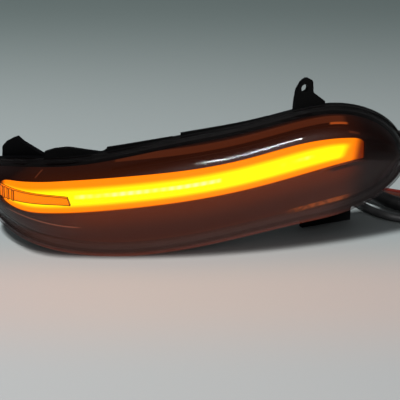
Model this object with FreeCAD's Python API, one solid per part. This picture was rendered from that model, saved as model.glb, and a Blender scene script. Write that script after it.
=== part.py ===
import FreeCAD, Part
import math

from FreeCAD import Vector

# Mirror turn signal lamp: a long curved lamp with a smoked lens over one lit amber bar.
# X runs along the lamp, the lens looks along -Y and Z is up. All sizes are in millimetres.

# Lamp outline, seen from the front
left_end = -110.0
right_end = 107.0
crease_heights = [32.5, 28.8, 29.6, 32.0, 34.9, 38.7, 43.5, 47.2, 46.2]
top_heights = [45.0, 46.6, 49.0, 54.0, 58.8, 63.0, 67.8, 67.8, 66.0]
strip_shares = [0.72, 0.69, 0.69, 0.61, 0.54, 0.54, 0.54, 0.46, 0.42]
bottom_heights = [3.0, 3.0, 3.5, 4.8, 7.8, 12.0, 15.6, 17.4, 17.4]
left_round_start = -30.0
left_round_rise = 24.0
left_round_drop = 9.0
right_round_start = 63.0
right_round_drop = 28.0
right_round_rise = 20.0
crease_droop_start = 84.0
crease_droop = 9.0

# Lamp outline, seen from above
front_radius = 300.0
front_centre_x = -45.0
left_corner = 32.0
right_corner = 12.0
seam_depth = 17.2
seam_lean = 0.19
wrap_start = -60.0
wrap_depth = 18.0
wrap_power = 3

# Lens
lens_wall = 2.2
strip_lean = 0.18
crease_round = 1.0
underside_bulge = 1.6
rim_top = 1.0
rim_bottom = 3.0
lens_rim_thickness = 2.0

# Glue seam and housing
seam_gap = 0.3
glue_thickness = 0.7
glue_half_width = 0.9
housing_rim_thickness = 2.4
housing_wall = 2.0
tub_inset = 1.6
tub_depth = 15.0
tub_end_loss = 0.6
tub_chamfer = 6.0

# Inner bezel and the lit bar
bezel_gap = 1.2
bezel_wall = 1.5
seat_gap = 0.12
window_left = -97.8
window_right = 82.6
window_drop = 3.2
window_trim = 0.3
window_round = 6.0
window_round_drop = 2.6
window_rise_start = -80.0
window_rise = 4.0
bar_clearance = 0.3
bar_depth = 4.8
groove_left = -42.0
groove_right = 74.0
groove_depth = 0.7
groove_low = 0.66
groove_high = 0.82
groove_front = -5.0
groove_rear = 16.0

# Clear side prism, in front of the bar's lower half at the left end
prism_left = -97.3
prism_right = -61.5
prism_slant = 2.4
prism_low = 1.3
prism_climb = 1.0
prism_height = 3.4
prism_growth = 1.8
prism_depth = 1.6
prism_gap = 0.4
prism_rib_pitch = 2.6
prism_rib_count = 3
prism_rib_width = 0.9
prism_rib_depth = 0.7

# Reflector tray, light board and its chips
tray_left = -63.0
tray_wall = 1.6
tray_depth = 7.2
board_thickness = 1.2
board_side_gap = 0.4
chip_count = 36
chip_width = 2.8
chip_height = 3.4
chip_depth = 0.8
chip_end_margin = 4.0
end_stations = [-94.0, -88.0, 74.0, 76.5]
lug_x = [-56.0, -12.0, 34.0, 74.0]
lug_radius = 4.0
lug_drop = 3.6
lug_thickness = 2.4
screw_radius = 1.4
screw_head_radius = 2.7
screw_head_height = 2.0
screw_length = 9.0
boss_wall = 1.8
pilot_clearance = 0.1

# Driver board and what is soldered on it
driver_x = 30.0
driver_z = 48.0
driver_length = 36.0
driver_height = 15.0
driver_thickness = 1.2
driver_standoff = 3.6
standoff_radius = 2.2
driver_chip = (6.0, 5.0, 1.6)
capacitor_radius = 2.5
capacitor_height = 3.6
diode = (4.4, 2.6, 2.0)
resistor = (3.2, 1.6, 0.6)
resistor_pitch = 3.0
resistor_count = 4

# Ear with the fixing hole
ear_x = 52.6
ear_z = 78.2
ear_yaw = 22.0
ear_thickness = 3.0
ear_hole_radius = 2.0
ear_outline = [(-5.4, -14.0), (-5.0, -7.0), (-4.0, -0.6), (-1.6, 3.2), (1.4, 5.2), (4.4, 3.6), (4.9, -2.6),
               (11.6, -7.8), (11.6, -14.0)]
ear_rounds = [0.0, 3.0, 3.0, 2.0, 2.6, 2.0, 1.5, 0.0, 0.0]

# Wing and the low upstand at the left end
wing_thickness = 2.6
wing_x = -72.0
wing_turn = -33.0
wing_outline = [(-35.2, 34.5), (-33.6, 42.0), (-32.9, 48.2), (-29.3, 51.6), (-23.8, 54.8), (-19.8, 52.6),
                (-7.2, 48.8), (0.0, 44.0), (0.0, 35.5)]
wing_rounds = [0.0, 6.0, 3.0, 3.0, 1.6, 4.0, 3.0, 3.0, 0.0]
upstand_outline = [(-76.0, 44.0), (-76.0, 50.8), (-71.0, 52.4), (-64.0, 53.2), (-56.0, 51.9), (-47.5, 50.7),
                   (-43.5, 53.4), (-43.5, 44.0)]

# Low lips along the housing's top edge, each as start, end, height at the start and at the end
lips = [(-45.0, -13.0, 1.7, 0.3), (-9.0, 34.0, 1.3, 0.2)]
lip_thickness = 1.6
upstand_rounds = [0.0, 1.0, 12.0, 12.0, 12.0, 2.0, 0.5, 0.0]

# Right bracket, clip feet and rear bosses
bracket_x = 97.0
bracket_width = 11.0
bracket_root = 8.0
bracket_slope = 2.0
bracket_top = 50.5
bracket_height = 15.0
bracket_thickness = 3.0
right_foot_x = 67.5
right_foot_width = 29.0
left_foot_x = -42.0
left_foot_width = 24.0
foot_thickness = 3.0
foot_rise = 14.0
foot_rib = 2.4
foot_rib_depth = 5.0
foot_rib_lift = 12.0
vent_x = -28.0
vent_z = 30.0
vent_radius = 5.0
vent_boss_wall = 1.0
vent_cap_thickness = 1.6
vent_stem_radius = 2.6
cable_x = 50.0
cable_height = 27.0
cable_boss_radius = 12.0
cable_hole_radius = 6.5
vent_rise = 2.5
cable_rise = 6.5
grommet_flange_radius = 11.0
grommet_flange = 2.0
grommet_nose_radius = 9.2
grommet_tip_radius = 8.6
grommet_nose = 6.0

# Leads: each route starts on the grommet's face and ends on the connector's seal
sleeve_radius = 3.8
grey_radius = 2.1
wire_radius = 1.1
plug_x = 160.0
plug_y = 66.0
plug_length = 24.0
plug_width = 24.0
plug_height = 11.0
plug_wall = 1.6
plug_back = 6.0
plug_edge = 1.0
plug_seal = 2.4
latch_width = 7.0
latch_rise = 1.6
latch_margin = 4.0
latch_chamfer = 0.6
pin_count = 4
pin_pitch = 4.6
pin_size = (10.0, 0.8, 2.2)
sleeve_route = [(50.0, 62.0, 29.2), (50.0, 79.0, 29.2), (57.7, 92.3, 22.0), (69.9, 96.8, 11.8),
                (84.9, 91.3, 7.2), (98.3, 76.4, 5.4), (111.0, 65.0, 4.0), (126.0, 61.0, 3.8),
                (138.5, 62.0, 4.6), (149.0, 65.0, 5.5), (160.0, 65.0, 5.5)]
grey_route = [(54.2, 62.0, 23.4), (54.2, 76.0, 23.4), (58.0, 84.2, 19.2), (65.4, 87.7, 11.8), (74.5, 84.8, 6.3),
              (84.5, 76.8, 3.4), (93.5, 67.5, 2.1), (101.5, 58.5, 2.1), (109.5, 51.5, 2.1), (120.0, 47.0, 2.1),
              (132.0, 48.0, 2.4), (143.0, 53.0, 4.2), (151.5, 57.5, 5.5), (160.0, 57.5, 5.5)]
red_route = [(45.8, 62.0, 23.6), (45.8, 75.0, 23.6), (46.5, 85.0, 17.0), (50.5, 94.5, 9.5), (59.0, 101.5, 3.4),
             (72.0, 104.5, 1.2), (85.0, 104.0, 1.2), (98.0, 100.7, 1.2), (110.5, 95.5, 1.2), (123.5, 88.5, 1.2),
             (136.0, 81.5, 2.0), (146.0, 76.0, 4.4), (153.0, 74.5, 5.5), (160.0, 74.5, 5.5)]
brown_route = [(50.0, 62.0, 21.6), (50.0, 74.0, 21.6), (52.0, 84.0, 15.5), (57.5, 92.5, 7.5), (67.5, 97.8, 2.4),
               (80.0, 98.5, 1.2), (92.5, 95.5, 1.2), (104.5, 92.0, 1.2), (116.0, 87.0, 1.2), (128.0, 80.0, 1.4),
               (139.5, 74.0, 3.2), (150.0, 71.0, 5.5), (160.0, 71.0, 5.5)]

ACROSS = Vector(0, 1, 0)


def guide(heights):
    """A smooth height curve through values at even stations from end to end of the lamp."""
    pitch = (right_end - left_end) / (len(heights) - 1)
    points = [Vector(left_end + pitch * i, 0, height) for i, height in enumerate(heights)]
    curve = Part.BSplineCurve()
    curve.interpolate(Points=points, Parameters=[p.x for p in points])
    return lambda x: curve.value(min(max(x, left_end), right_end)).z


crease_guide = guide(crease_heights)
top_guide = guide(top_heights)
bottom_guide = guide(bottom_heights)
share_guide = guide(strip_shares)


def ease(x, start, end):
    """A quarter ellipse: nothing at start, falling steeply to one at end."""
    if (x - start) * (end - start) <= 0:
        return 0.0
    share = min((x - start) / (end - start), 1.0)
    return 1.0 - math.sqrt(1.0 - share * share)


def front_line(x):
    """The front arc of the lamp, seen from above."""
    return front_radius - math.sqrt(front_radius ** 2 - (x - front_centre_x) ** 2)


def heading(x):
    """The angle of the front arc at x, in degrees."""
    return math.degrees(math.asin((x - front_centre_x) / front_radius))


def crease_y(x, inset=0.0):
    left = (left_corner - inset) * ease(x, left_end + left_corner, left_end + inset)
    right = max(right_corner - inset, 0.5) * ease(x, right_end - right_corner, right_end - inset)
    return front_line(x) + inset + left + right


def crease_z(x, inset=0.0):
    return crease_guide(x) - crease_droop * ease(x, crease_droop_start, right_end - inset)


def top_z(x, inset=0.0):
    left = (left_round_drop - inset) * ease(x, left_end + left_corner, left_end + inset)
    right = (right_round_drop - inset) * ease(x, right_round_start, right_end - inset)
    return top_guide(x) - inset - left - right


def bottom_z(x, inset=0.0):
    left = (left_round_rise - inset) * ease(x, left_round_start, left_end + inset)
    right = (right_round_rise - inset) * ease(x, right_round_start, right_end - inset)
    return bottom_guide(x) + inset + left + right


def seam_y(x, z):
    """The seam between lens and housing: it leans back upwards, and turns back round the left corner."""
    wrap = (max(wrap_start - x, 0.0) / (wrap_start - left_end)) ** wrap_power
    return front_line(x) + seam_depth + seam_lean * (z - crease_z(x)) + wrap_depth * wrap


def strip_top(x, inset=0.0):
    crease = crease_z(x, inset)
    return crease + share_guide(x) * (top_z(x, inset) - crease)


def slope(x):
    """How steeply the crease runs back at x, seen from above."""
    return (crease_y(x + 0.05) - crease_y(x - 0.05)) / 0.1


def face_y(x, z, depth=0.0):
    """The leaning front face of the lit band, or a face that lies a depth behind it."""
    return crease_y(x) + strip_lean * (z - crease_z(x)) + depth * math.hypot(1.0, slope(x))


def polygon(x, corners):
    points = [Vector(x, y, z) for y, z in corners]
    return Part.makePolygon(points + points[:1])


def bezier(*points):
    curve = Part.BezierCurve()
    curve.setPoles(list(points))
    return curve.toShape()


def rounded_stations(inset, count=19, end_angle=0.06):
    """X stations that crowd towards both rounded ends."""
    middle = (left_end + right_end) / 2
    half = (right_end - left_end) / 2 - inset
    step = (math.pi - 2 * end_angle) / (count - 1)
    return [middle - half * math.cos(end_angle + step * i) for i in range(count)]


def even_stations(start, end, count):
    return [start + (end - start) * i / (count - 1) for i in range(count)]


def shared_stations(start, end):
    """Both ends, and between them the stations that every bar behind the face shares, closer near the ends."""
    shared = sorted(even_stations(left_end, right_end, 24) + end_stations)
    return [start] + [x for x in shared if start + 3 < x < end - 3] + [end]


def loft(section, stations):
    return Part.makeLoft([section(x) for x in stations], True, False)


def front_section(x, inset, back):
    """Shoulder, leaning face, rounded crease and underside, closed behind the seam by back."""
    top = Vector(x, seam_y(x, top_z(x, inset)), top_z(x, inset))
    bottom = Vector(x, seam_y(x, bottom_z(x, inset)), bottom_z(x, inset))
    crease = Vector(x, crease_y(x, inset), crease_z(x, inset))
    face_top_z = strip_top(x, inset)
    face_top = Vector(x, crease.y + strip_lean * (face_top_z - crease.z), face_top_z)
    corner = Vector(x, crease.y + strip_lean * (top.z - crease.z), top.z)
    middle = (crease + bottom) * 0.5
    down = (bottom - crease).normalize()
    middle += Vector(0, down.z, -down.y) * min(underside_bulge, 0.1 * (crease.z - bottom.z))
    round_size = min(crease_round, 0.3 * (face_top.z - crease.z), 0.3 * (crease.z - bottom.z))
    above = crease + (face_top - crease).normalize() * round_size
    below = crease + (middle - crease).normalize() * round_size
    edges = [bezier(top, top + (corner - top) * 0.6, face_top + (corner - face_top) * 0.6, face_top),
             Part.makeLine(face_top, above),
             bezier(above, crease, below),
             bezier(below, middle, bottom)]
    if back > 0:
        rear_bottom = bottom + ACROSS * back
        rear_top = top + ACROSS * back
        edges += [Part.makeLine(bottom, rear_bottom), Part.makeLine(rear_bottom, rear_top),
                  Part.makeLine(rear_top, top)]
    else:
        edges.append(Part.makeLine(bottom, top))
    return Part.Wire(edges)


def front_body(inset, back=0.0):
    return loft(lambda x: front_section(x, inset, back), rounded_stations(inset))


def seam_slab(top_inset, bottom_inset, front, rear):
    """A plate that follows the seam, from front to rear of it, with its edge moved in by the insets."""
    def section(x):
        top = top_z(x, top_inset)
        bottom = bottom_z(x, bottom_inset)
        return polygon(x, [(seam_y(x, top) + front, top), (seam_y(x, top) + rear, top),
                           (seam_y(x, bottom) + rear, bottom), (seam_y(x, bottom) + front, bottom)])
    return loft(section, rounded_stations((top_inset + bottom_inset) / 2))


def tub_reach(x):
    return tub_depth * (1 - tub_end_loss * max(ease(x, -50.0, left_end), ease(x, 70.0, right_end)))


def rear_y(x, z):
    return seam_y(x, z) + tub_reach(x)


def tub(inset, wall, front):
    """The housing's rear shell, or with a wall the space inside it."""
    def section(x):
        top = top_z(x, inset)
        bottom = bottom_z(x, inset)
        cut = min(tub_chamfer, 0.3 * (top - bottom))
        reach = tub_reach(x) - wall
        return polygon(x, [(seam_y(x, top) + front, top), (seam_y(x, top) + reach - cut, top),
                           (seam_y(x, top - cut) + reach, top - cut),
                           (seam_y(x, bottom + cut) + reach, bottom + cut),
                           (seam_y(x, bottom) + reach - cut, bottom), (seam_y(x, bottom) + front, bottom)])
    return loft(section, rounded_stations(inset))


def band(start, end, low, high, near, far):
    """A bar behind the lit face: low and high give its heights, near and far its depths."""
    def section(x):
        bottom, top = low(x), high(x)
        return polygon(x, [(face_y(x, bottom, near), bottom), (face_y(x, bottom, far), bottom),
                           (face_y(x, top, far), top), (face_y(x, top, near), top)])
    return loft(section, shared_stations(start, end))


def rounded_wire(corners, rounds):
    """A closed outline in the XZ plane with each corner rounded by its own radius."""
    points = [Vector(x, 0, z) for x, z in corners]
    edges = []
    cursor = None
    first = None
    for i, point in enumerate(points):
        before = (points[i - 1] - point).normalize()
        after = (points[(i + 1) % len(points)] - point).normalize()
        radius = rounds[i]
        if radius > 0:
            half = before.getAngle(after) / 2
            start = point + before * (radius / math.tan(half))
            end = point + after * (radius / math.tan(half))
            centre = point + (before + after).normalize() * (radius / math.sin(half))
            middle = centre + (point - centre).normalize() * radius
        else:
            start = end = point
        if cursor is not None and cursor.distanceToPoint(start) > 1e-6:
            edges.append(Part.makeLine(cursor, start))
        if radius > 0:
            edges.append(Part.Arc(start, middle, end).toShape())
        if first is None:
            first = start
        cursor = end
    if cursor.distanceToPoint(first) > 1e-6:
        edges.append(Part.makeLine(cursor, first))
    return Part.Wire(edges)


def plate(corners, rounds, thickness):
    return Part.Face(rounded_wire(corners, rounds)).extrude(ACROSS * thickness)


def post(x, z, radius, start_y, end_y):
    return Part.makeCylinder(radius, end_y - start_y, Vector(x, start_y, z), ACROSS)


def block(x, y, z, size):
    return Part.makeBox(size[0], size[1], size[2], Vector(x - size[0] / 2, y - size[1] / 2, z - size[2] / 2))


def turned(shape, x, y, angle):
    copy = shape.copy()
    copy.rotate(Vector(x, y, 0), Vector(0, 0, 1), angle)
    return copy


def keep_largest(shape):
    """The main solid of a cut, without loose slivers."""
    return max(shape.Solids, key=lambda solid: solid.Volume)


parts = {}

# Smoked outer lens: one moulding, open behind, with a welding rim all round its back edge
lens_outer = front_body(0.0).fuse(seam_slab(-rim_top, -rim_bottom, -lens_rim_thickness, 0.0))
lens_space = front_body(lens_wall, 4.0)
parts["outer_lens"] = keep_largest(lens_outer.cut(lens_space))

# Glue bead: a thin ring in the seam between lens rim and housing rim
glue_front = seam_gap
glue_rear = seam_gap + glue_thickness
glue_outer = seam_slab(0.0, -0.6, glue_front, glue_rear)
glue_inner = seam_slab(2 * glue_half_width, 2 * glue_half_width, glue_front - 2, glue_rear + 2)
parts["lens_seal"] = keep_largest(glue_outer.cut(glue_inner))

# Rear housing: rim, deep tub, ear, wing, upstand, bracket, clip feet and bosses in one moulding
rim_front = glue_rear + seam_gap
rim_rear = rim_front + housing_rim_thickness
housing = seam_slab(-rim_top, -rim_bottom, rim_front, rim_rear).fuse(tub(tub_inset, 0.0, rim_front))
base_z = parts["outer_lens"].optimalBoundingBox().ZMin


def rim_lip(start, end, start_height, end_height):
    """A raised lip on the housing's top edge, whose height changes evenly from start to end."""
    def section(x):
        low = top_z(x)
        high = low + rim_top + start_height + (end_height - start_height) * (x - start) / (end - start)
        rear = seam_y(x, low) + rim_rear
        return polygon(x, [(rear - lip_thickness, low), (rear, low), (rear, high), (rear - lip_thickness, high)])
    return loft(section, even_stations(start, end, 9))


ear_y = seam_y(ear_x, top_z(ear_x)) + rim_rear - 0.4
ear = plate(ear_outline, ear_rounds, ear_thickness)
ear = ear.cut(post(0, 0, ear_hole_radius, -1, ear_thickness + 1))
ear.rotate(Vector(0, 0, 0), Vector(0, 0, 1), ear_yaw)
ear.translate(Vector(ear_x, ear_y, ear_z))
wing = plate(wing_outline, wing_rounds, wing_thickness)
wing.rotate(Vector(0, 0, 0), Vector(0, 0, 1), wing_turn)
wing.translate(Vector(wing_x, seam_y(wing_x, top_z(wing_x)) + rim_front, 0))
upstand = plate(upstand_outline, upstand_rounds, wing_thickness)
upstand.translate(ACROSS * (seam_y(wing_x, top_z(wing_x)) + rim_front))
bracket_y = rear_y(bracket_x, bracket_top - bracket_height / 2) - bracket_thickness
bracket = plate([(bracket_x - bracket_root, bracket_top - bracket_height), (bracket_x - bracket_root, bracket_top),
                 (bracket_x + bracket_width, bracket_top - bracket_slope),
                 (bracket_x + bracket_width, bracket_top - bracket_height)],
                [0, 0, 3.0, 2.0], bracket_thickness)
bracket.translate(ACROSS * bracket_y)
housing = housing.fuse([ear, wing, upstand, bracket] + [rim_lip(*values) for values in lips])


def clip_foot(x, width):
    """A clip tab that hangs from the tub's back to the table: a plate along the lamp with a short rib at each end."""
    top = bottom_z(x) + foot_rise
    front = rear_y(x, top) - 0.6
    tab = Part.makeBox(width, foot_thickness, top - base_z, Vector(x - width / 2, front, base_z))
    for side in (-1, 1):
        rib_x = x + side * (width - foot_rib) / 2
        tab = tab.fuse(Part.makeBox(foot_rib, foot_rib_depth, foot_rise - foot_rib_lift + 4,
                                    Vector(rib_x - foot_rib / 2, front - foot_rib_depth, top - foot_rib_lift)))
    return turned(tab, x, front, heading(x))


housing = housing.fuse([clip_foot(right_foot_x, right_foot_width), clip_foot(left_foot_x, left_foot_width)])

cable_z = base_z + cable_height
vent_face = rear_y(vent_x, vent_z) + vent_rise
cable_face = rear_y(cable_x, cable_z) + cable_rise
housing = housing.fuse([post(vent_x, vent_z, vent_radius + vent_boss_wall, vent_face - 6, vent_face),
                        post(cable_x, cable_z, cable_boss_radius, cable_face - 12, cable_face)])
housing = housing.cut(tub(tub_inset + housing_wall, housing_wall, -6.0))

# Tray geometry shared by the reflector tray, its screws and the housing's screw bosses
bezel_front = lens_wall + bezel_gap
bezel_rear = bezel_front + bezel_wall
bar_front = bezel_rear
bar_rear = bar_front + bar_depth
tray_rear = bar_rear + tray_depth


def window_low(x):
    return crease_z(x) - window_drop + window_rise * ease(x, window_rise_start, window_left)


def window_high(x):
    drop = max(ease(x, window_left + window_round, window_left), ease(x, window_right - window_round, window_right))
    return strip_top(x) - window_trim - window_round_drop * drop


def tray_low(x):
    return window_low(x) + bar_clearance


def tray_high(x):
    return window_high(x) - bar_clearance


def lug_z(x):
    return tray_low(x) - lug_drop


def lug_rear(x):
    return face_y(x, lug_z(x), tray_rear)


bosses = []
pilots = []
for x in lug_x:
    wall_y = rear_y(x, lug_z(x))
    bosses.append(post(x, lug_z(x), screw_radius + boss_wall, lug_rear(x), wall_y - housing_wall / 2))
    pilots.append(post(x, lug_z(x), screw_radius + pilot_clearance, lug_rear(x) - 1,
                       lug_rear(x) + screw_length - lug_thickness + 0.5))
standoffs = []
driver_angle = heading(driver_x)
driver_rear = rear_y(driver_x, driver_z) - housing_wall - driver_standoff


def on_driver(shape):
    """Turns a piece drawn square to the axes into line with the driver board."""
    return turned(shape, driver_x, driver_rear, driver_angle)


for side in (-1, 1):
    standoff_x = driver_x + side * (driver_length / 2 - standoff_radius)
    standoffs.append(on_driver(post(standoff_x, driver_z, standoff_radius, driver_rear,
                                    driver_rear + driver_standoff + 2.5)))
tub_limit = tub(tub_inset, 0.0, rim_front - 20)
bosses = [shape.common(tub_limit) for shape in bosses + standoffs]
housing = housing.fuse(bosses).cut(Part.makeCompound(pilots))
housing = housing.cut(post(vent_x, vent_z, vent_stem_radius + 0.1, vent_face - 20, vent_face + 1))
housing = housing.cut(post(cable_x, cable_z, cable_hole_radius, cable_face - 20, cable_face + 1))
parts["rear_housing"] = keep_largest(housing)

# Inner bezel: a dark reddish mask behind the lens, with the window for the bar and a shallow groove
bezel = front_body(bezel_front).cut(front_body(bezel_rear, 4.0))
window = band(window_left, window_right, window_low, window_high, bezel_front - 6, bezel_rear + 9)
bezel = bezel.cut(window)


def groove_z(x, share):
    return strip_top(x, bezel_front) + share * (top_z(x, bezel_front) - strip_top(x, bezel_front))


def groove_section(x):
    low, high = groove_z(x, groove_low), groove_z(x, groove_high)
    front, rear = crease_y(x) + groove_front, crease_y(x) + groove_rear
    return polygon(x, [(front, low), (rear, low), (rear, high), (front, high)])


groove = loft(groove_section, even_stations(groove_left, groove_right, 9))
groove = groove.cut(front_body(bezel_front + groove_depth))
bezel = bezel.cut(groove)
parts["inner_bezel"] = keep_largest(bezel)

# Diffuser bar: the lit part, seated in the bezel's window
parts["diffuser_bar"] = band(window_left + bar_clearance, window_right - bar_clearance,
                             lambda x: window_low(x) + bar_clearance, lambda x: window_high(x) - bar_clearance,
                             bezel_front + prism_depth + prism_gap, bar_rear - seat_gap)

# Clear side prism, with three upright ribs at its outer end and a slanted inner end
def prism_share(x):
    return (prism_right - x) / (prism_right - prism_left)


def prism_low_z(x):
    return crease_z(prism_right) + prism_low + prism_climb * prism_share(x)


def prism_high_z(x):
    return prism_low_z(x) + prism_height + prism_growth * prism_share(x)


prism = band(prism_left, prism_right, prism_low_z, prism_high_z, bezel_front, bezel_front + prism_depth)
slant_y = face_y(prism_right, window_low(prism_right)) - 10
slant_z = prism_low_z(prism_right) - 1
wedge = Part.Face(Part.makePolygon([Vector(prism_right - prism_slant, slant_y, slant_z + prism_height + 3),
                                    Vector(prism_right + 5, slant_y, slant_z + prism_height + 3),
                                    Vector(prism_right + 5, slant_y, slant_z),
                                    Vector(prism_right, slant_y, slant_z),
                                    Vector(prism_right - prism_slant, slant_y, slant_z + prism_height + 3)]))
prism = prism.cut(wedge.extrude(ACROSS * 40))
for i in range(prism_rib_count):
    rib_x = prism_left + prism_rib_pitch * (i + 0.6)
    rib = band(rib_x, rib_x + prism_rib_width, prism_low_z, prism_high_z,
               bezel_front - prism_rib_depth, bezel_front + 0.5)
    prism = prism.fuse(rib)
parts["side_prism"] = keep_largest(prism)

# Reflector tray: a white channel behind the bar, with a lug at each screw
tray_right = window_right - bar_clearance
tray = band(tray_left, tray_right, tray_low, tray_high, bar_rear, tray_rear)
channel = band(tray_left + tray_wall, tray_right - tray_wall, lambda x: tray_low(x) + tray_wall,
               lambda x: tray_high(x) - tray_wall, bar_rear - 2, tray_rear - tray_wall)
tray = tray.cut(channel)
lugs = []
for x in lug_x:
    front = lug_rear(x) - lug_thickness
    lug = post(x, lug_z(x), lug_radius, front, lug_rear(x))
    lug = lug.fuse(block(x, lug_rear(x) - lug_thickness / 2, lug_z(x) + (lug_drop + tray_wall / 2) / 2,
                         (2 * lug_radius, lug_thickness, lug_drop + tray_wall / 2)))
    lugs.append(lug)
tray = tray.fuse(lugs)
for x in lug_x:
    tray = tray.cut(post(x, lug_z(x), screw_radius + 0.3, lug_rear(x) - 12, lug_rear(x) + 1))
parts["reflector_tray"] = keep_largest(tray)

# Light board: a flexible strip on the tray's floor, with a row of chips
board_rear = tray_rear - tray_wall
board_front = board_rear - board_thickness
board_left = tray_left + tray_wall + board_side_gap
board_right = tray_right - tray_wall - board_side_gap
parts["light_board"] = band(board_left, board_right, lambda x: tray_low(x) + tray_wall + board_side_gap,
                            lambda x: tray_high(x) - tray_wall - board_side_gap, board_front,
                            board_rear - seat_gap)


def board_centre(x):
    return (window_low(x) + window_high(x)) / 2


chips = []
for x in even_stations(board_left + chip_end_margin, board_right - chip_end_margin, chip_count):
    z = board_centre(x)
    chip = block(x, face_y(x, z, board_front) - chip_depth / 2 - seat_gap, z,
                 (chip_width, chip_depth, chip_height))
    chip = turned(chip, x, face_y(x, z, board_front), math.degrees(math.atan(slope(x))))
    chip.rotate(Vector(x, face_y(x, z, board_front), z), Vector(1, 0, 0), -math.degrees(math.atan(strip_lean)))
    chips.append(chip)
parts["light_chips"] = Part.makeCompound(chips)

# Tray screws
screws = []
for x in lug_x:
    head_y = lug_rear(x) - lug_thickness
    screw = post(x, lug_z(x), screw_head_radius, head_y - screw_head_height, head_y)
    screws.append(screw.fuse(post(x, lug_z(x), screw_radius, head_y, head_y + screw_length)))
parts["tray_screws"] = Part.makeCompound(screws)

# Driver board on the housing's two stand-offs, and what is soldered to its front
driver_front = driver_rear - driver_thickness
parts["driver_board"] = on_driver(block(driver_x, driver_rear - driver_thickness / 2, driver_z,
                                        (driver_length, driver_thickness, driver_height)))


def soldered(dx, dz, size):
    return on_driver(block(driver_x + dx, driver_front - size[2] / 2, driver_z + dz, (size[0], size[2], size[1])))


parts["driver_chip"] = soldered(2.0, 2.0, driver_chip)
parts["smoothing_capacitor"] = on_driver(post(driver_x - 9.0, driver_z + 3.5, capacitor_radius,
                                              driver_front - capacitor_height, driver_front))
parts["polarity_diode"] = soldered(11.0, 3.5, diode)
first_resistor = -resistor_pitch * (resistor_count - 1) / 2
parts["resistors"] = Part.makeCompound([soldered(first_resistor + resistor_pitch * i, -5.2,
                                                 (resistor[1], resistor[0], resistor[2]))
                                        for i in range(resistor_count)])

# Breather plug and cable grommet, pushed into the housing's rear bosses
vent = post(vent_x, vent_z, vent_radius, vent_face, vent_face + vent_cap_thickness)
parts["vent_plug"] = vent.fuse(post(vent_x, vent_z, vent_stem_radius, vent_face - 5, vent_face)).removeSplitter()
nose_y = cable_face + grommet_flange
cord_face = nose_y + grommet_nose
grommet = post(cable_x, cable_z, grommet_flange_radius, cable_face, nose_y)
grommet = grommet.fuse(post(cable_x, cable_z, cable_hole_radius - 0.1, cable_face - 4, cable_face))
grommet = grommet.fuse(Part.makeCone(grommet_nose_radius, grommet_tip_radius, grommet_nose,
                                     Vector(cable_x, nose_y, cable_z), ACROSS))
parts["cable_grommet"] = grommet.removeSplitter()


def lead(name, route, radius):
    """A round lead along straight runs joined by tangent arcs, from the grommet to the connector."""
    points = [Vector(x, y, base_z + z) for x, y, z in route]
    points[0].y = cord_face
    points[-1].x = plug_x
    edges = []
    radii = []
    cursor = points[0]
    for i in range(1, len(points) - 1):
        back = points[i - 1] - points[i]
        ahead = points[i + 1] - points[i]
        reach = 0.45 * min(back.Length, ahead.Length)
        back.normalize()
        ahead.normalize()
        turn = math.pi - back.getAngle(ahead)
        start = points[i] + back * reach
        end = points[i] + ahead * reach
        bend = reach / math.tan(turn / 2)
        bisector = (back + ahead).normalize()
        middle = points[i] + bisector * (bend / math.cos(turn / 2) - bend)
        edges.append(Part.LineSegment(cursor, start).toShape())
        edges.append(Part.Arc(start, middle, end).toShape())
        radii.append(bend)
        cursor = end
    edges.append(Part.LineSegment(cursor, points[-1]).toShape())
    path = Part.Wire(edges)
    ring = Part.Wire([Part.makeCircle(radius, points[0], points[1] - points[0])])
    tube = path.makePipeShell([ring], True, False)
    expected = path.Length * math.pi * radius ** 2
    print(name, "length", round(path.Length, 1), "bend radii", [round(r, 1) for r in radii],
          "volume share", round(tube.Volume / expected, 4))
    return tube


# Leads: the black sleeve, the grey lead and two thin single wires
parts["sleeved_lead"] = lead("sleeved_lead", sleeve_route, sleeve_radius)
parts["grey_lead"] = lead("grey_lead", grey_route, grey_radius)
parts["red_wire"] = lead("red_wire", red_route, wire_radius)
parts["brown_wire"] = lead("brown_wire", brown_route, wire_radius)

# Connector at the leads' far end: seal, open housing, latch and pins
seal_centre = Vector(plug_x + plug_seal / 2, plug_y, base_z + plug_height / 2)
parts["plug_seal"] = block(seal_centre.x, seal_centre.y, seal_centre.z,
                           (plug_seal, plug_width - 2 * plug_edge, plug_height))
shell_x = plug_x + plug_seal
shell = block(shell_x + plug_length / 2, plug_y, seal_centre.z, (plug_length, plug_width, plug_height))
mouth = block(shell_x + plug_length / 2 + plug_back, plug_y, seal_centre.z,
              (plug_length, plug_width - 2 * plug_wall, plug_height - 2 * plug_wall))
shell = shell.makeFillet(plug_edge, [edge for edge in shell.Edges if abs(edge.tangentAt(0).x) > 0.9])
parts["plug_body"] = shell.cut(mouth)
latch_top = seal_centre.z + plug_height / 2
latch = block(shell_x + plug_length / 2, plug_y, latch_top + latch_rise / 2,
              (plug_length - 2 * latch_margin, latch_width, latch_rise))
parts["plug_latch"] = latch.makeChamfer(latch_chamfer, [
    edge for edge in latch.Edges if abs(edge.tangentAt(0).y) > 0.9 and edge.BoundBox.ZMin > latch_top + 1])
pins = []
for i in range(pin_count):
    pin_y = plug_y + (i - (pin_count - 1) / 2) * pin_pitch
    pins.append(block(shell_x + plug_back + pin_size[0] / 2, pin_y, seal_centre.z, pin_size))
parts["plug_pins"] = Part.makeCompound(pins)

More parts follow.
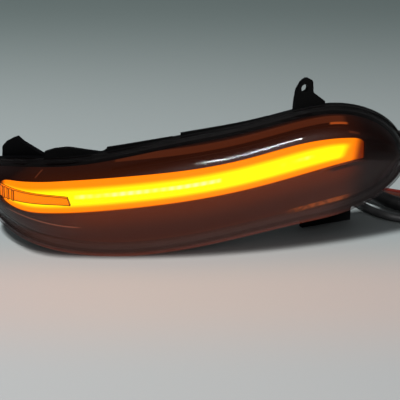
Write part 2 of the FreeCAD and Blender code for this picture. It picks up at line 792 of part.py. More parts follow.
# Origin: the middle of the lamp's own footprint, on the surface that it rests on
on_leads = {"sleeved_lead", "grey_lead", "red_wire", "brown_wire", "plug_seal", "plug_body", "plug_latch",
            "plug_pins", "cable_grommet"}
lamp_box = FreeCAD.BoundBox()
for name, shape in parts.items():
    if name not in on_leads:
        lamp_box.add(shape.optimalBoundingBox())
origin = Vector((lamp_box.XMin + lamp_box.XMax) / 2, (lamp_box.YMin + lamp_box.YMax) / 2, base_z)
ear_axis = Vector(math.sin(math.radians(ear_yaw)), -math.cos(math.radians(ear_yaw)), 0)
ear_hole = Vector(ear_x, ear_y, ear_z) - ear_axis * (ear_thickness / 2) - origin
print("ear hole", [round(value, 3) for value in ear_hole])
print("origin", [round(value, 3) for value in origin], "lamp", [round(value, 1) for value in (
    lamp_box.XLength, lamp_box.YLength, lamp_box.ZLength)], "cord face", round(cord_face, 2), "base", round(base_z, 3))
for name, shape in parts.items():
    shape.translate(-origin)
    print(name, len(shape.Solids), "valid" if shape.isValid() else "INVALID", round(shape.Volume, 1))
    shape.exportStep("parts/" + name + ".step")
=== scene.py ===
import math

import bmesh
import bpy
import numpy as np
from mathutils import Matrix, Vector


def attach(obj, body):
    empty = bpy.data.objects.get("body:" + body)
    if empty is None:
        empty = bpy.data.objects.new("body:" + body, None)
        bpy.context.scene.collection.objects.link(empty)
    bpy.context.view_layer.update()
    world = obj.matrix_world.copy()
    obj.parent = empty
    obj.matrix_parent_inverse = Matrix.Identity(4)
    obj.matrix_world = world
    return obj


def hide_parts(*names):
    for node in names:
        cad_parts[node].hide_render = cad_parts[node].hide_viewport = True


# Mirror turn signal lamp, lit, lying on a pale table. Metres, X along the lamp, the lens looks along -Y.
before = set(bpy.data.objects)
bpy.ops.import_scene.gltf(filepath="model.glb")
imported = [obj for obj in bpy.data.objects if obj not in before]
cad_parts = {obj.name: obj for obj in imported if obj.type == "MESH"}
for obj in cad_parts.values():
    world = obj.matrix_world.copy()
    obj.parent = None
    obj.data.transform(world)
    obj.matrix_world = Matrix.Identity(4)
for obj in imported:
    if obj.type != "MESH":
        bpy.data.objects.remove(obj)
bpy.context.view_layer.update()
scene = bpy.context.scene
scene.view_settings.view_transform = "Standard"

# Camera: level with the lamp's long axis and 22 degrees above the table, far off with a long lens, so that
# the lamp's left tip and its leads run out of the picture.
target = Vector((0.0020, -0.0131, 0.0259))
camera_tilt = math.radians(22.0)
camera_distance = 0.520
camera_data = bpy.data.cameras.new("camera")
camera_data.sensor_width = 36.0
camera_data.lens = 94.55
camera_data.clip_start = 0.01
camera = bpy.data.objects.new("camera", camera_data)
camera.location = target + camera_distance * Vector((0.0, -math.cos(camera_tilt), math.sin(camera_tilt)))
camera.rotation_euler = (math.pi / 2 - camera_tilt, 0.0, 0.0)
scene.collection.objects.link(camera)
scene.camera = camera

# Table: the pale plain board that the lamp lies on. Just in front of the lamp it has a painted warm glow,
# the lit bar's light on the board; behind the lamp it is cooler and greyer, and its gloss varies very
# slightly.
left, right, front, back = -4.0, 4.0, -3.0, 5.0
near_colour, painted_glow_colour = (0.43, 0.44, 0.44), (0.50, 0.43, 0.40)
cool_colour, far_colour = (0.35, 0.39, 0.39), (0.17, 0.215, 0.21)
painted_glow_from, cool_from, far_from = (-0.14, -0.07), (-0.06, 0.01), (0.06, 0.62)


class Signal:
    """One output of a material's nodes. Sums, products and the like of signals add the nodes for them."""

    def __init__(self, finish, socket):
        self.finish = finish
        self.socket = socket

    def maths(self, operation, *values):
        return self.finish.node("ShaderNodeMath", {"operation": operation}, dict(enumerate(values)))

    def __add__(self, other):
        return self.maths("ADD", self, other)

    def __sub__(self, other):
        return self.maths("SUBTRACT", self, other)

    def __rsub__(self, other):
        return self.maths("SUBTRACT", other, self)

    def __mul__(self, other):
        return self.maths("MULTIPLY", self, other)

    def __truediv__(self, other):
        return self.maths("DIVIDE", self, other)

    __radd__ = __add__
    __rmul__ = __mul__

    def at_most(self, limit):
        return self.maths("MINIMUM", self, limit)

    def cosine(self):
        return self.maths("COSINE", self)

    def polynomial(self, coefficients):
        """The value of a polynomial whose coefficients come highest power first."""
        total, *others = [float(coefficient) for coefficient in coefficients]
        for coefficient in others:
            total = total * self + coefficient
        return total

    def step(self, low, high):
        """Nothing at low, one at high, and a smooth change between; low may lie above high."""
        rising = low < high
        return self.finish.node("ShaderNodeMapRange", {"interpolation_type": "SMOOTHSTEP"},
                                {"Value": self, "From Min": min(low, high), "From Max": max(low, high),
                                 "To Min": float(not rising), "To Max": float(rising)}, "Result")

    def band(self, low, high, soft):
        """One between low and high, falling to nothing within soft on either side."""
        return self.step(low - soft, low) * self.step(high + soft, high)

    def between(self, first, second):
        """A colour that goes from first to second as this signal goes from nothing to one."""
        return self.finish.node("ShaderNodeMix", {"data_type": "RGBA"}, {0: self, 6: first, 7: second}, 2)


class Finish:
    """A Principled material, with the patterns that its section asks for."""

    def __init__(self, name, sockets):
        self.material = bpy.data.materials.new(name)
        self.material.use_nodes = True
        self.tree = self.material.node_tree
        self.shader = self.tree.nodes["Principled BSDF"]
        self.fill(self.shader, sockets)
        self.place = self.node("ShaderNodeTexCoord", {}, {}, "Object")

    def fill(self, node, sockets):
        """Sets a node's inputs, by name or number, each to a constant or to a signal."""
        for name, value in sockets.items():
            if isinstance(value, Signal):
                self.tree.links.new(value.socket, node.inputs[name])
            elif isinstance(value, tuple) and node.inputs[name].type == "RGBA":
                node.inputs[name].default_value = (*value, 1.0)
            else:
                node.inputs[name].default_value = value

    def node(self, kind, settings, sockets, output=0):
        made = self.tree.nodes.new(kind)
        for name, value in settings.items():
            setattr(made, name, value)
        self.fill(made, sockets)
        return Signal(self, made.outputs[output])

    def along(self, axis):
        return self.node("ShaderNodeSeparateXYZ", {}, {0: self.place}, axis)

    def noise(self, scale, detail=2.0, stretch=(1.0, 1.0, 1.0)):
        place = self.node("ShaderNodeMapping", {}, {"Vector": self.place, "Scale": stretch})
        return self.node("ShaderNodeTexNoise", {}, {"Vector": place, "Scale": scale, "Detail": detail})

    def feed(self, **sockets):
        """Sets the shader's inputs; an input's name has underscores for its spaces."""
        self.fill(self.shader, {name.replace("_", " "): value for name, value in sockets.items()})

    def bump(self, height, depth):
        self.feed(Normal=self.node("ShaderNodeBump", {}, {"Height": height, "Distance": depth}))


table_mesh = bpy.data.meshes.new("table")
corners = [(left, front, 0.0), (right, front, 0.0), (right, back, 0.0), (left, back, 0.0)]
table_mesh.from_pydata(corners, [], [(0, 1, 2, 3)])
table = bpy.data.objects.new("table", table_mesh)
scene.collection.objects.link(table)
board = Finish("table", {"Specular IOR Level": 0.2})
distance = board.along("Y")
# Painted glow: the lit bar's warm light on the board just in front of the lamp.
colour = distance.step(*painted_glow_from).between(near_colour, painted_glow_colour)
colour = distance.step(*cool_from).between(colour, cool_colour)
colour = distance.step(*far_from).between(colour, far_colour)
board.feed(Base_Color=colour, Roughness=board.noise(3.0) * 0.1 + 0.55)
table_mesh.materials.append(board.material)

# Light: a dim even room, a lamp high up at the left that throws the shadow under the lens, and a low long
# lamp in front that shows only as the streak along the lens's shoulder.
world = bpy.data.worlds.new("room")
world.use_nodes = True
room = world.node_tree.nodes["Background"].inputs
room["Color"].default_value = (0.90, 0.93, 0.95, 1.0)
room["Strength"].default_value = 0.13
scene.world = world


def softbox(name, power, width, depth, place, aim):
    data = bpy.data.lights.new(name, "AREA")
    data.shape = "RECTANGLE"
    data.size = width
    data.size_y = depth
    data.energy = power
    lamp = bpy.data.objects.new(name, data)
    lamp.location = place
    lamp.rotation_euler = (Vector(aim) - Vector(place)).to_track_quat("-Z", "Y").to_euler()
    scene.collection.objects.link(lamp)
    return lamp


overhead = softbox("overhead", power=23.0, width=0.16, depth=0.12,
                   place=(-0.56, -0.33, 1.32), aim=(0.0, 0.0, 0.0))
overhead.visible_glossy = False
low_lamp = softbox("streak", power=17.0, width=0.30, depth=0.05,
                   place=(0.26, -0.52, 0.50), aim=(0.03, -0.02, 0.055))
low_lamp.visible_diffuse = False

# Lit bar: amber diffuser, one moulding held between the bezel and the tray over the row of chips. Lit, it
# has a yellow core, orange edges, and paler spots where the chips sit closest behind it. In the patterns a
# pair says where a change begins and ends, and with three numbers the last is how softly a band ends.
sharp_angle = math.radians(28.0)
weld_distance = 2e-6
bar_left, bar_right, low_edge_right = -0.093, 0.0815, 0.079
face_lean = math.radians(22.0)
lean_sine, lean_cosine = math.sin(face_lean), math.cos(face_lean)
fit_degree = 6
fit_scale = 10
chip_pitch = 0.0039
chip_runs = (-0.056, 0.010, 0.003), (0.044, 0.055, 0.004)
spot_heights = (0.45, 0.51, 0.05)
core_low, core_high, core_right = (0.12, 0.30), (0.82, 0.60), (0.0770, 0.0715)
fade_left, fade_right, fade_low = (-0.0958, -0.0925), (0.0828, 0.0768), (-0.03, 0.06)
core_slant, end_slant = 0.006, 0.0018
orange, yellow = (1.0, 0.205, 0.001), (1.0, 0.80, 0.002)
pale_yellow, dull_orange = (1.0, 0.95, 0.26), (0.12, 0.012, 0.001)


def merged(node):
    """A smooth-shaded copy of a CAD node's mesh that stands for the node, with its sharp edges kept."""
    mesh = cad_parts[node].data.copy()
    mesh.name = node + "_skin"
    mesh.materials.clear()
    form = bmesh.new()
    form.from_mesh(mesh)
    bmesh.ops.remove_doubles(form, verts=form.verts, dist=weld_distance)
    for face in form.faces:
        face.smooth = True
    for edge in form.edges:
        edge.smooth = edge.calc_face_angle(0.0) < sharp_angle
    form.to_mesh(mesh)
    form.free()
    piece = bpy.data.objects.new(node + "_skin", mesh)
    scene.collection.objects.link(piece)
    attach(piece, "root")
    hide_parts(node)
    return piece


def dress(piece, finish):
    piece.data.materials.clear()
    piece.data.materials.append(finish.material)


bar = merged("diffuser_bar")
bar_points = np.array([vertex.co for vertex in bar.data.vertices])


def bar_edge(side):
    """Two polynomials in fit_scale * x, whose powers stay near one. They follow the bar's front edge on its
    upper side (1) or lower side (-1), first in height and then in rise across the lens's leaning face."""
    points = bar_points[(bar_points[:, 0] > bar_left) & (bar_points[:, 0] < bar_right)]
    x, y, z = points.T
    points = points[y < np.polyval(np.polyfit(x, y, fit_degree), x)]
    for slack in (0.0, 0.002, 0.001, 0.0004):
        x, y, z = points.T
        middle = np.polyval(np.polyfit(x * fit_scale, z, fit_degree), x * fit_scale)
        points = points[(z - middle) * side > -slack]
    x, y, z = points.T
    rise = y * lean_sine + z * lean_cosine
    return [np.polyfit(x * fit_scale, values, fit_degree) for values in (z, rise)]


(top_height, top_rise), (low_height, low_rise) = bar_edge(1), bar_edge(-1)


def beside_bar(finish):
    """A point's rise across the leaning face, and how far it lies above the bar and how far below it."""
    x = finish.along("X") * fit_scale
    rise = finish.along("Y") * lean_sine + finish.along("Z") * lean_cosine
    below = x.at_most(low_edge_right * fit_scale).polynomial(low_rise) - rise
    return rise, rise - x.polynomial(top_rise), below


amber = Finish("amber_bar", {"Base Color": (0.30, 0.06, 0.0), "Roughness": 0.4, "Emission Strength": 3.8})
along = amber.along("X")
low_line, top_line = [(along * fit_scale).polynomial(height) for height in (low_height, top_height)]
share = (amber.along("Z") - low_line) / (top_line - low_line)
core_end = (along + (0.5 - share) * core_slant).step(*core_right)
core = share.step(*core_low) * share.step(*core_high) * core_end
pulses = (along * (2 * math.pi / chip_pitch)).cosine() * 0.3 + 0.7
left_run, right_run = [along.band(*run) for run in chip_runs]
spots = share.band(*spot_heights) * pulses * (left_run + right_run * 0.5)
spots = spots * amber.noise(55.0).step(0.30, 0.60)
right_end = (along + (0.5 - share) * end_slant).step(*fade_right)
lit_part = right_end * along.step(*fade_left) * share.step(*fade_low)
glow = spots.between(core.between(orange, yellow), pale_yellow)
amber.feed(Emission_Color=lit_part.between(dull_orange, glow))
dress(bar, amber)

# Smoked lens: one glossy moulding of dark smoked plastic, welded to the housing round its back edge. Its
# facet below the bar is painted paler, a painted reflection of the pale table, and the bar's light that its
# lower rim, a spill near the right and a few moulded lines catch is painted in as glow.
smoke, no_light = (0.002, 0.001, 0.001), (0.0, 0.0, 0.0)
facet_reflection_left, facet_reflection_right = (0.046, 0.036, 0.036), (0.070, 0.055, 0.055)
rim_glow_dim, rim_glow_bright, rim_glow_red = (0.040, 0.015, 0.011), (0.060, 0.020, 0.013), (0.11, 0.022, 0.011)
spill_glow_colour, line_glow_colour = (0.28, 0.065, 0.012), (0.30, 0.10, 0.05)
lens_reach, station_count, station_width = 0.104, 30, 0.004
facet_edge, facet_reflection_run = (-0.0001, 0.0004), (0.0, 0.09)
bright_from, red_from, rim_top = (0.0032, 0.0040), (0.0014, 0.0008), (0.0088, 0.0072)
rim_below, rim_back, rim_left, rim_right = (0.0, 0.003), (0.022, 0.010), (-0.098, -0.072), (0.085, 0.060)
spill_slope, spill_rise = 0.257, 0.0013
spill_width, spill_run = (-0.0008, 0.0008, 0.0006), (0.052, 0.072, 0.008)
line_points = np.array([(-0.0875, 0.0132), (-0.0754, 0.0087), (-0.0541, 0.0057)])
line_width, line_run = (-0.0001, 0.0001, 0.0002), (-0.088, -0.060, 0.006)
lens = merged("outer_lens")
lens_points = np.array([vertex.co for vertex in lens.data.vertices])
stations = np.linspace(-lens_reach, lens_reach, station_count)
lowest = [lens_points[np.abs(lens_points[:, 0] - x) < station_width, 2].min() for x in stations]
smoked = Finish("smoked_lens", {"Alpha": 0.40, "Specular IOR Level": 0.13, "Emission Strength": 1.0})
rise, above, below = beside_bar(smoked)
along = smoked.along("X")
# Painted reflection of the pale table in the facet below the bar, paler towards the right.
facet_reflection_colour = along.step(*facet_reflection_run).between(facet_reflection_left, facet_reflection_right)
lowest_fit = np.polyfit(stations * fit_scale, lowest, fit_degree)
height = smoked.along("Z") - (along * fit_scale).polynomial(lowest_fit)
# Painted glow: the bar's light caught in the lens's lower rim.
rim_glow_colour = height.step(*bright_from).between(rim_glow_dim, rim_glow_bright)
rim_glow_colour = height.step(*red_from).between(rim_glow_colour, rim_glow_red)
rim = height.step(*rim_top) * below.step(*rim_below) * smoked.along("Y").step(*rim_back)
rim = rim * (along.step(*rim_right) * along.step(*rim_left))
# Painted glow: a spill of the bar's light near the right.
spill = (rise - along * spill_slope - spill_rise).band(*spill_width)
spill = spill * along.band(*spill_run) * smoked.noise(400.0).step(0.3, 0.6)
line_fit = np.polyfit(line_points[:, 0] * fit_scale, line_points[:, 1], 2)
# Painted glow: the bar's light caught in a moulded line near the left.
line = (rise - (along * fit_scale).polynomial(line_fit)).band(*line_width) * along.band(*line_run)
caught = spill.between(rim.between(no_light, rim_glow_colour), spill_glow_colour)
# The painted reflection goes into the base colour, the painted glow into the emission colour.
smoked.feed(Base_Color=below.step(*facet_edge).between(smoke, facet_reflection_colour),
            Emission_Color=line.between(caught, line_glow_colour),
            Roughness=smoked.noise(60.0) * 0.015 + 0.018)
dress(lens, smoked)

# Side prism: clear amber bar with upright ribs, moulded apart and held in the bezel's window in front of
# the lit bar's lower half, where it carries light to the side. Moulding leaves its gloss a little uneven.
prism = merged("side_prism")
clear_amber = Finish("clear_amber", {"Base Color": (0.4, 0.06, 0.0), "Alpha": 0.80,
                                     "Emission Color": (1.0, 0.20, 0.003), "Emission Strength": 3.0})
clear_amber.feed(Roughness=clear_amber.noise(500.0) * 0.1 + 0.1)
dress(prism, clear_amber)

# Prism edges: the prism's moulded edges, rounded over by a fraction of a millimetre, turn the light away
# and show as fine dark lines; thin dark tubes along them paint in this shade. Geometry Nodes sweep a thin
# round profile along each sharp edge.
edge_radius = 0.00019
edge_sides = 6
darker_edge, paler_edge = (0.03, 0.004, 0.001), (0.06, 0.008, 0.001)
# Painted shade: the dark colour of the thin tubes along the prism's edges.
painted_edge_shade = Finish("painted_edge_shade", {"Roughness": 0.4})
painted_edge_shade.feed(Base_Color=painted_edge_shade.noise(900.0).between(darker_edge, paler_edge))
tree = bpy.data.node_groups.new("edge_lines", "GeometryNodeTree")
tree.interface.new_socket("Geometry", in_out="INPUT", socket_type="NodeSocketGeometry")
radius_item = tree.interface.new_socket("Radius", in_out="INPUT", socket_type="NodeSocketFloat")
tree.interface.new_socket("Geometry", in_out="OUTPUT", socket_type="NodeSocketGeometry")
add = tree.nodes.new
group_in, group_out = add("NodeGroupInput"), add("NodeGroupOutput")
sharp, to_curve = add("GeometryNodeInputNamedAttribute"), add("GeometryNodeMeshToCurve")
circle, sweep = add("GeometryNodeCurvePrimitiveCircle"), add("GeometryNodeCurveToMesh")
realize, paint = add("GeometryNodeRealizeInstances"), add("GeometryNodeSetMaterial")
sharp.data_type = "BOOLEAN"
sharp.inputs["Name"].default_value = "sharp_edge"
circle.inputs["Resolution"].default_value = edge_sides
paint.inputs["Material"].default_value = painted_edge_shade.material
for source, plug in ((group_in.outputs["Geometry"], to_curve.inputs["Mesh"]),
                     (sharp.outputs["Attribute"], to_curve.inputs["Selection"]),
                     (group_in.outputs["Radius"], circle.inputs["Radius"]),
                     (to_curve.outputs["Curve"], sweep.inputs["Curve"]),
                     (circle.outputs["Curve"], sweep.inputs["Profile Curve"]),
                     (sweep.outputs["Mesh"], realize.inputs["Geometry"]),
                     (realize.outputs["Geometry"], paint.inputs["Geometry"]),
                     (paint.outputs["Geometry"], group_out.inputs["Geometry"])):
    tree.links.new(source, plug)
edges = bpy.data.objects.new("prism_edges", prism.data.copy())
scene.collection.objects.link(edges)
modifier = edges.modifiers.new("edge_lines", "NODES")
modifier.node_group = tree
modifier[radius_item.identifier] = edge_radius
swept = bpy.data.meshes.new_from_object(edges.evaluated_get(bpy.context.evaluated_depsgraph_get()))
edges.modifiers.clear()
edges.data = swept
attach(edges, "root")

# Inner bezel: dark reddish-brown plastic mask with a fine moulded grain and a window for the lit bar. The
# bar's light on its steps is painted in as glow: a band and two short streaks above, a broad glow below,
# and a tick at the left, with painted shade past a slanting line near the left end.
upper_glow_far, upper_glow_near, upper_glow_top = (0.055, 0.009, 0.002), (0.085, 0.014, 0.002), (0.012, 0.004, 0.003)
band_glow_colour, streak_glow_colour, small_glow_colour = (0.19, 0.036, 0.010), (0.95, 0.17, 0.027), (0.30, 0.06, 0.02)
lower_glow_far, lower_glow_near = (0.105, 0.018, 0.006), (0.27, 0.040, 0.006)
lower_glow_left, lower_glow_dark = (0.06, 0.022, 0.018), (0.05, 0.006, 0.001)
painted_left_shade, end_dark = (0.003, 0.001, 0.001), (0.004, 0.001, 0.001)
above_fade, top_from, below_fade = (0.006, 0.0), (0.0114, 0.0124), (0.012, 0.0)
band_left, band_base, band_slant, band_soft = -0.0397, 0.008, 0.22, (0.0, 0.0006)
band_heights, band_right = (0.0078, 0.0110, 0.0004), (0.076, 0.072)
streak_heights, streak_run = (0.0068, 0.0076, 0.0003), (0.067, 0.0745, 0.0015)
end_heights, end_run = (0.0024, 0.0032, 0.0003), (0.0765, 0.0805, 0.0015)
tick_left, tick_rise, tick_slant = -0.0776, 0.0296, 0.6
tick_width, tick_heights = (-0.0002, 0.0002, 0.0003), (0.0300, 0.0336, 0.0006)
shade_left, shade_rise, shade_slant, shade_soft = -0.088, 0.031, 1.4, (-0.004, 0.002)
pale_left, seam = (-0.045, -0.085), (-0.0002, 0.0002)
dark_heights, dark_run = (0.0012, 0.0026, 0.0005), (0.068, 0.084, 0.003)
lit_left, lit_right = (-0.100, -0.070), (0.088, 0.070)
brown = Finish("bezel_brown", {"Base Color": (0.03, 0.007, 0.003), "Emission Strength": 1.0,
                               "Specular IOR Level": 0.2})
rise, above, below = beside_bar(brown)
along = brown.along("X")
# Painted glow of the bar's light on the steps above the bar, with its band, streaks, end mark and tick.
upper = above.step(*above_fade).between(upper_glow_far, upper_glow_near)
band_start = (along - band_left - (above - band_base) * band_slant).step(*band_soft)
band = above.band(*band_heights) * band_start * along.step(*band_right)
upper = band.between(upper, band_glow_colour)
upper = above.step(*top_from).between(upper, upper_glow_top)
upper = (above.band(*streak_heights) * along.band(*streak_run)).between(upper, streak_glow_colour)
upper = (above.band(*end_heights) * along.band(*end_run)).between(upper, small_glow_colour)
tick = (along - tick_left - (rise - tick_rise) * tick_slant).band(*tick_width)
upper = (tick * rise.band(*tick_heights)).between(upper, small_glow_colour)
# Painted shade past a slanting line near the left end.
past_shade = (along - shade_left - (rise - shade_rise) * shade_slant).step(*shade_soft)
upper = past_shade.between(painted_left_shade, upper)
# Painted glow of the bar's light on the steps below the bar, with a darker strip near the right.
lower = below.step(*below_fade).between(lower_glow_far, lower_glow_near)
lower = along.step(*pale_left).between(lower, lower_glow_left)
lower = (below.band(*dark_heights) * along.band(*dark_run)).between(lower, lower_glow_dark)
lit = below.step(*seam).between(upper, lower)
inside = along.step(*lit_left) * along.step(*lit_right)
grain = brown.noise(2600.0)
# The painted glow and shade go into the emission colour; the base colour is plain dark brown.
brown.feed(Emission_Color=inside.between(end_dark, lit), Roughness=grain * 0.15 + 0.36)
brown.bump(grain, 0.00003)
dress(merged("inner_bezel"), brown)

# Rear housing: black glass-filled plastic, one moulding with ear, wing, bracket and clip feet, which the
# lens is welded to. It is satin with a fine grain, and its back is painted a little paler, painted light
# that lifts it out of the shade there.
front_black, painted_back_light, painted_back_from = (0.0010, 0.0010, 0.0013), (0.032, 0.032, 0.033), (0.018, 0.032)
black = Finish("housing_black", {"Specular IOR Level": 0.04})
grain = black.noise(1800.0)
# Painted light: the back is paler than the front, lifting it out of the shade there.
black.feed(Base_Color=black.along("Y").step(*painted_back_from).between(front_black, painted_back_light),
           Roughness=grain * 0.15 + 0.50)
black.bump(grain, 0.00002)
dress(merged("rear_housing"), black)

# Lens seal: bead of black glue, laid wet between the lens's rim and the housing's rim before they are
# pressed together, so its gloss and its surface are a little uneven.
glue = Finish("glue", {"Base Color": (0.012, 0.012, 0.013)})
flow = glue.noise(350.0)
glue.feed(Roughness=flow * 0.3 + 0.25)
glue.bump(flow, 0.0001)
dress(merged("lens_seal"), glue)

# Reflector tray: white moulded channel behind the bar, screwed to the housing's bosses. It is matt, so that
# it spreads the chips' light, and faintly yellowed in patches.
tray_white = Finish("tray_white", {"Roughness": 0.55})
tray_white.feed(Base_Color=tray_white.noise(120.0).between((0.70, 0.68, 0.65), (0.80, 0.79, 0.77)))
tray_white.bump(tray_white.noise(1500.0), 0.00003)
dress(merged("reflector_tray"), tray_white)

# Tray screws: four self-tapping screws of zinc-plated steel that hold the tray to the housing. The plating
# is slightly cloudy.
screw_zinc = Finish("screw_zinc", {"Metallic": 1.0})
cloud = screw_zinc.noise(800.0)
screw_zinc.feed(Base_Color=cloud.between((0.50, 0.51, 0.53), (0.68, 0.68, 0.66)),
                Roughness=cloud * 0.2 + 0.2)
dress(merged("tray_screws"), screw_zinc)

# Light board and chips: a bendable strip with white solder mask, laid in the tray, and the row of
# light-emitting chips soldered on it, each with a yellow coating that is a little uneven.
board_white = Finish("board_white", {"Roughness": 0.45})
board_white.feed(Base_Color=board_white.noise(700.0).between((0.62, 0.62, 0.60), (0.72, 0.72, 0.70)))
dress(merged("light_board"), board_white)
chip_yellow = Finish("chip_yellow", {"Roughness": 0.35})
chip_yellow.feed(Base_Color=chip_yellow.noise(900.0).between((0.70, 0.48, 0.06), (0.85, 0.66, 0.14)))
dress(merged("light_chips"), chip_yellow)

# Driver board: flat board of glass fibre and resin on the housing's inner bosses, with green solder mask
# under which the weave just shows.
weave_scale = 9000.0
board_green = Finish("board_green", {"Roughness": 0.35, "Coat Weight": 0.3})
weave = (board_green.along("X") * weave_scale).cosine() + (board_green.along("Z") * weave_scale).cosine()
board_green.feed(Base_Color=(weave * 0.25 + 0.5).between((0.010, 0.110, 0.040), (0.025, 0.170, 0.065)))
dress(merged("driver_board"), board_green)

# Driver chip, diode and resistors: black moulded packages soldered on the driver board. They are matt and
# lightly speckled by the filler in the resin.
part_black = Finish("part_black", {"Roughness": 0.55})
part_black.feed(Base_Color=part_black.noise(2500.0).between((0.012, 0.012, 0.013), (0.035, 0.035, 0.036)))
for node in ("driver_chip", "polarity_diode", "resistors"):
    dress(merged(node), part_black)

# Smoothing capacitor: drawn aluminium can, soldered upright on the driver board. The drawing tool leaves
# it brushed lengthwise, so its gloss runs in streaks.
can_silver = Finish("can_silver", {"Metallic": 1.0, "Base Color": (0.62, 0.62, 0.64)})
can_silver.feed(Roughness=can_silver.noise(500.0, stretch=(1.0, 6.0, 1.0)) * 0.3 + 0.15)
dress(merged("smoothing_capacitor"), can_silver)

# Breather plug: soft grey plug pressed into a hole in the housing's back, which lets air through and keeps
# water out. Its porous face is matt and dusty.
vent_grey = Finish("vent_grey", {"Roughness": 0.75})
pores = vent_grey.noise(2200.0, detail=4.0)
vent_grey.feed(Base_Color=pores.between((0.09, 0.09, 0.095), (0.19, 0.19, 0.195)))
vent_grey.bump(pores, 0.00005)
dress(merged("vent_plug"), vent_grey)

# Cable grommet: black rubber bush, pulled into the housing's cable hole round the leads. It is matt, with
# the paler bloom that rubber gets with time.
rubber_black = Finish("rubber_black", {"Roughness": 0.7})
bloom = rubber_black.noise(160.0, detail=4.0).step(0.45, 0.75)
rubber_black.feed(Base_Color=bloom.between((0.010, 0.010, 0.011), (0.030, 0.030, 0.031)))
rubber_black.bump(rubber_black.noise(1400.0), 0.00004)
dress(merged("cable_grommet"), rubber_black)

# Connector: body and latch of black glass-filled nylon, an orange silicone seal where the wires go in, and
# four tinned pins. The filler lies along the flow of the plastic and streaks its gloss.
plug_names = ("plug_body", "plug_latch", "plug_seal", "plug_pins")
plug_body, plug_latch, plug_seal, plug_pins = plug_pieces = [merged(node) for node in plug_names]
plug_black = Finish("plug_black", {"Base Color": (0.014, 0.014, 0.015)})
filler = plug_black.noise(1500.0, stretch=(1.0, 0.2, 1.0))
plug_black.feed(Roughness=filler * 0.25 + 0.35)
plug_black.bump(filler, 0.00003)
for piece in (plug_body, plug_latch):
    dress(piece, plug_black)
seal_orange = Finish("seal_orange", {"Roughness": 0.5})
seal_orange.feed(Base_Color=seal_orange.noise(250.0).between((0.55, 0.13, 0.02), (0.70, 0.20, 0.04)))
dress(plug_seal, seal_orange)
pin_tin = Finish("pin_tin", {"Metallic": 1.0, "Base Color": (0.70, 0.70, 0.69)})
pin_tin.feed(Roughness=pin_tin.noise(600.0) * 0.2 + 0.2)
dress(plug_pins, pin_tin)

# Leads: a black sleeve with wires in it, a grey jacketed lead and two thin single wires. They leave the
# grommet side by side, bend down to the table and run to the connector. Handling makes their gloss uneven.
# The routes are the ones that the part's source has, so its origin, route_origin, is taken off them.
route_origin = Vector((-0.0015, 0.033149, 0.0))
grommet_face = 0.05934
sleeve_radius, grey_radius, wire_radius = 0.0038, 0.0021, 0.0011
round_steps, length_steps = 5, 10
sleeve_route = [(0.0500, 0.0620, 0.0292), (0.0500, 0.0790, 0.0292), (0.0577, 0.0923, 0.0220),
                (0.0699, 0.0968, 0.0118), (0.0849, 0.0913, 0.0072), (0.0983, 0.0764, 0.0054),
                (0.1110, 0.0650, 0.0040), (0.1260, 0.0610, 0.0038), (0.1385, 0.0620, 0.0046),
                (0.1490, 0.0650, 0.0055), (0.1600, 0.0650, 0.0055)]
grey_route = [(0.0542, 0.0620, 0.0234), (0.0542, 0.0760, 0.0234), (0.0580, 0.0842, 0.0192),
              (0.0654, 0.0877, 0.0118), (0.0745, 0.0848, 0.0063), (0.0845, 0.0768, 0.0034),
              (0.0925, 0.0650, 0.0021), (0.1000, 0.0560, 0.0021), (0.1095, 0.0515, 0.0021),
              (0.1200, 0.0470, 0.0021), (0.1320, 0.0480, 0.0024), (0.1430, 0.0530, 0.0042),
              (0.1515, 0.0575, 0.0055), (0.1600, 0.0575, 0.0055)]
red_route = [(0.0458, 0.0620, 0.0236), (0.0458, 0.0750, 0.0236), (0.0465, 0.0850, 0.0170),
             (0.0505, 0.0945, 0.0095), (0.0590, 0.1015, 0.0034), (0.0720, 0.1045, 0.0012),
             (0.0850, 0.1040, 0.0012), (0.0980, 0.1007, 0.0012), (0.1105, 0.0955, 0.0012),
             (0.1235, 0.0885, 0.0012), (0.1360, 0.0815, 0.0020), (0.1460, 0.0760, 0.0044),
             (0.1530, 0.0745, 0.0055), (0.1600, 0.0745, 0.0055)]
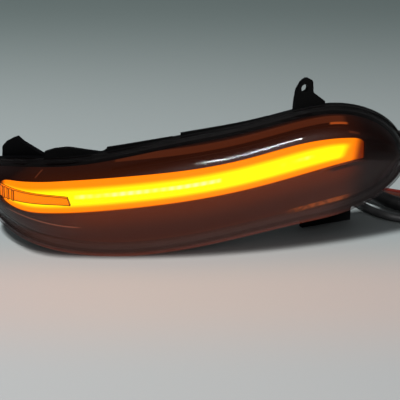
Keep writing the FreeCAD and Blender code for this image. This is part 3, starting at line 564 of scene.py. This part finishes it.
brown_route = [(0.0500, 0.0620, 0.0216), (0.0500, 0.0740, 0.0216), (0.0520, 0.0840, 0.0155),
               (0.0575, 0.0925, 0.0075), (0.0675, 0.0978, 0.0024), (0.0800, 0.0985, 0.0012),
               (0.0925, 0.0955, 0.0012), (0.1045, 0.0920, 0.0012), (0.1160, 0.0870, 0.0012),
               (0.1280, 0.0800, 0.0014), (0.1395, 0.0740, 0.0032), (0.1500, 0.0710, 0.0055),
               (0.1600, 0.0710, 0.0055)]


def lead(node, route, radius, finish):
    curve = bpy.data.curves.new(node + "_line", "CURVE")
    curve.dimensions = "3D"
    curve.bevel_depth = radius
    curve.bevel_resolution = round_steps
    curve.resolution_u = length_steps
    line = curve.splines.new("NURBS")
    line.points.add(len(route) - 1)
    places = [Vector(point) - route_origin for point in route]
    places[0].y = grommet_face - route_origin.y
    for control, place in zip(line.points, places):
        control.co = (*place, 1.0)
    line.order_u = 3
    line.use_endpoint_u = True
    piece = bpy.data.objects.new(node + "_line", curve)
    scene.collection.objects.link(piece)
    curve.materials.append(finish.material)
    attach(piece, "root")
    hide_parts(node)


sleeve_black = Finish("sleeve_black", {"Base Color": (0.006, 0.006, 0.007), "Specular IOR Level": 0.3})
sleeve_black.feed(Roughness=sleeve_black.noise(200.0, detail=4.0) * 0.25 + 0.28)
lead("sleeved_lead", sleeve_route, sleeve_radius, sleeve_black)
lead_grey = Finish("lead_grey", {"Base Color": (0.032, 0.032, 0.034)})
lead_grey.feed(Roughness=lead_grey.noise(260.0, detail=4.0) * 0.25 + 0.35)
lead("grey_lead", grey_route, grey_radius, lead_grey)
wire_red = Finish("wire_red", {"Base Color": (0.13, 0.014, 0.009)})
wire_red.feed(Roughness=wire_red.noise(300.0) * 0.2 + 0.12)
lead("red_wire", red_route, wire_radius, wire_red)
wire_brown = Finish("wire_brown", {"Base Color": (0.07, 0.018, 0.010)})
wire_brown.feed(Roughness=wire_brown.noise(300.0) * 0.2 + 0.12)
lead("brown_wire", brown_route, wire_radius, wire_brown)
